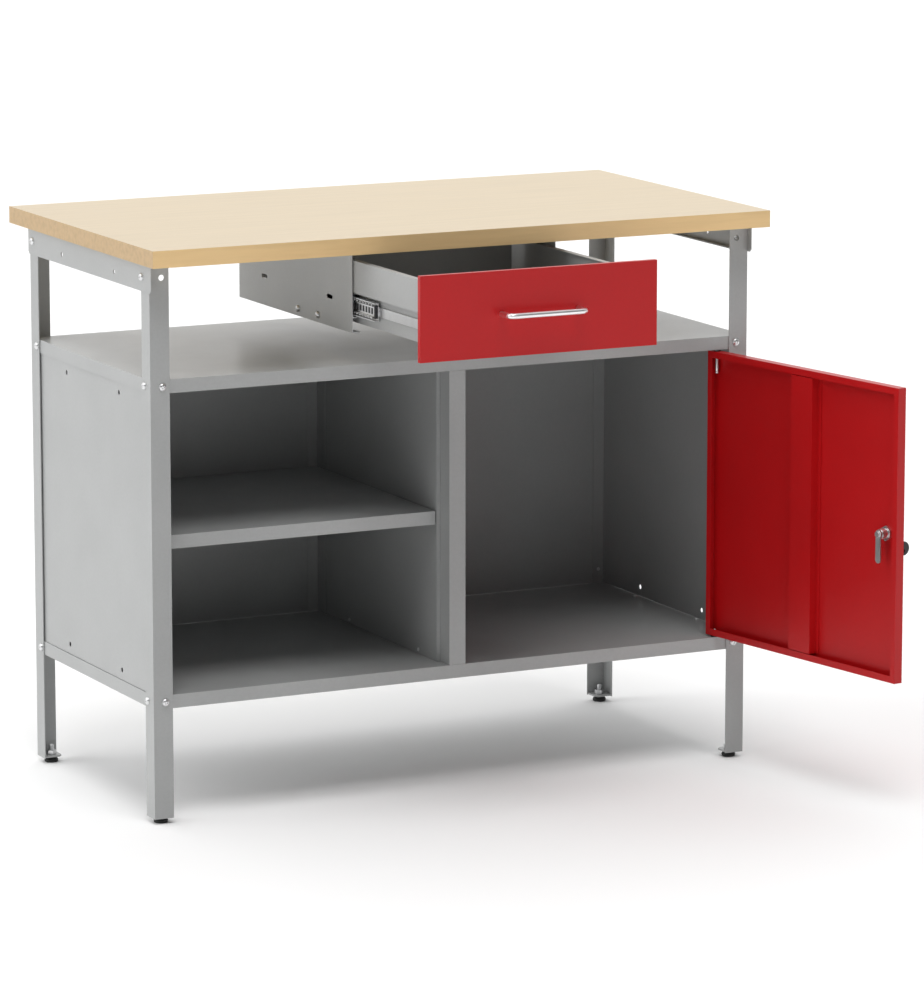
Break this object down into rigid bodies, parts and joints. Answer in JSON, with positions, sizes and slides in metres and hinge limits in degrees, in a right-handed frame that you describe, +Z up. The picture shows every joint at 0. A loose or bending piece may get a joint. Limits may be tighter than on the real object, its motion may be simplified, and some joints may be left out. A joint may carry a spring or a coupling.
{
  "type": "workbench with drawer and cabinet",
  "caption": "Steel-framed workbench with a thick board top, an open shelf, a drawer on ball slides, open shelf bays and a lockable hinged cabinet door.",
  "frame": {"origin": "middle of the worktop's upper face", "axes": "+X to the right along the bench, +Y to the back, +Z up"},
  "size_m": [1.0551, 0.9164, 0.845],
  "materials": {
    "board": "satin pale board with fine flecks",
    "grey_paint": "light grey powder coat, fine texture",
    "red_paint": "deep red powder coat, satin",
    "zinc": "bright zinc plate",
    "chrome": "polished",
    "black_rubber": "matte black",
    "black_plastic": "matte black"
  },
  "bodies": {
    "frame": {"worktop": "board", "leg_front_left": "grey_paint", "foot_plate_front_left": "grey_paint", "foot_nut_front_left": "zinc", "leg_rear_left": "grey_paint", "foot_plate_rear_left": "grey_paint", "foot_nut_rear_left": "zinc", "side_rail_left": "grey_paint", "side_panel_left": "grey_paint", "drawer_housing_left": "grey_paint", "slide_outer_left": "zinc", "leg_front_right": "grey_paint", "foot_plate_front_right": "grey_paint", "foot_nut_front_right": "zinc", "leg_rear_right": "grey_paint", "foot_plate_rear_right": "grey_paint", "foot_nut_rear_right": "zinc", "side_rail_right": "grey_paint", "side_panel_right": "grey_paint", "drawer_housing_right": "grey_paint", "slide_outer_right": "zinc", "upper_shelf": "grey_paint", "middle_shelf": "grey_paint", "bottom_shelf": "grey_paint", "back_panel": "grey_paint", "divider": "grey_paint", "front_post": "grey_paint", "rear_post": "grey_paint", "drawer_housing_back": "grey_paint", "hinge_bush_upper": "black_plastic", "hinge_bush_lower": "black_plastic"},
    "drawer": {"drawer_front": "red_paint", "drawer_box_front": "grey_paint", "drawer_side_left": "grey_paint", "drawer_side_right": "grey_paint", "drawer_back": "grey_paint", "drawer_bottom": "grey_paint", "handle_bar": "chrome", "handle_post_left": "chrome", "handle_post_right": "chrome", "slide_inner_left": "zinc", "slide_inner_right": "zinc"},
    "slide_middle_left": {"slide_middle_left": "zinc"},
    "slide_middle_right": {"slide_middle_right": "zinc"},
    "door": {"door_panel": "red_paint", "door_stiffener": "red_paint", "hinge_pin_upper": "zinc", "hinge_pin_lower": "zinc", "lock_barrel": "chrome", "lock_nut": "zinc"},
    "lock_key": {"lock_cam": "zinc", "lock_cam_screw": "zinc", "key_stem": "zinc", "key_bow": "black_plastic"},
    "foot_front_left": {"foot_front_left": "black_rubber"},
    "foot_rear_left": {"foot_rear_left": "black_rubber"},
    "foot_front_right": {"foot_front_right": "black_rubber"},
    "foot_rear_right": {"foot_rear_right": "black_rubber"}
  },
  "joints": [
    {"name": "drawer_slide", "type": "slide", "parent": "frame", "child": "drawer", "axis": [0, -1, 0], "range_m": [-0.265, 0.115]},
    {"name": "slide_middle_left_travel", "type": "slide", "parent": "frame", "child": "slide_middle_left", "axis": [0, -1, 0], "range_m": [-0.1325, 0.0575]},
    {"name": "slide_middle_right_travel", "type": "slide", "parent": "frame", "child": "slide_middle_right", "axis": [0, -1, 0], "range_m": [-0.1325, 0.0575]},
    {"name": "door_hinge", "type": "hinge", "parent": "frame", "child": "door", "pos_m": [0.4405, -0.2228, -0.435], "axis": [0, 0, 1], "range_deg": [-100, 20]},
    {"name": "lock_turn", "type": "hinge", "parent": "door", "child": "lock_key", "pos_m": [0.51479, -0.60267, -0.435], "axis": [0.9848, 0.1736, 0], "range_deg": [-90, 0]},
    {"name": "foot_front_left_level", "type": "slide", "parent": "frame", "child": "foot_front_left", "axis": [0, 0, -1], "range_m": [0, 0.008]},
    {"name": "foot_rear_left_level", "type": "slide", "parent": "frame", "child": "foot_rear_left", "axis": [0, 0, -1], "range_m": [0, 0.008]},
    {"name": "foot_front_right_level", "type": "slide", "parent": "frame", "child": "foot_front_right", "axis": [0, 0, -1], "range_m": [0, 0.008]},
    {"name": "foot_rear_right_level", "type": "slide", "parent": "frame", "child": "foot_rear_right", "axis": [0, 0, -1], "range_m": [0, 0.008]}
  ],
  "couplings": [
    {"joint": "slide_middle_left_travel", "follows": "drawer_slide", "ratio": 0.5},
    {"joint": "slide_middle_right_travel", "follows": "drawer_slide", "ratio": 0.5}
  ]
}
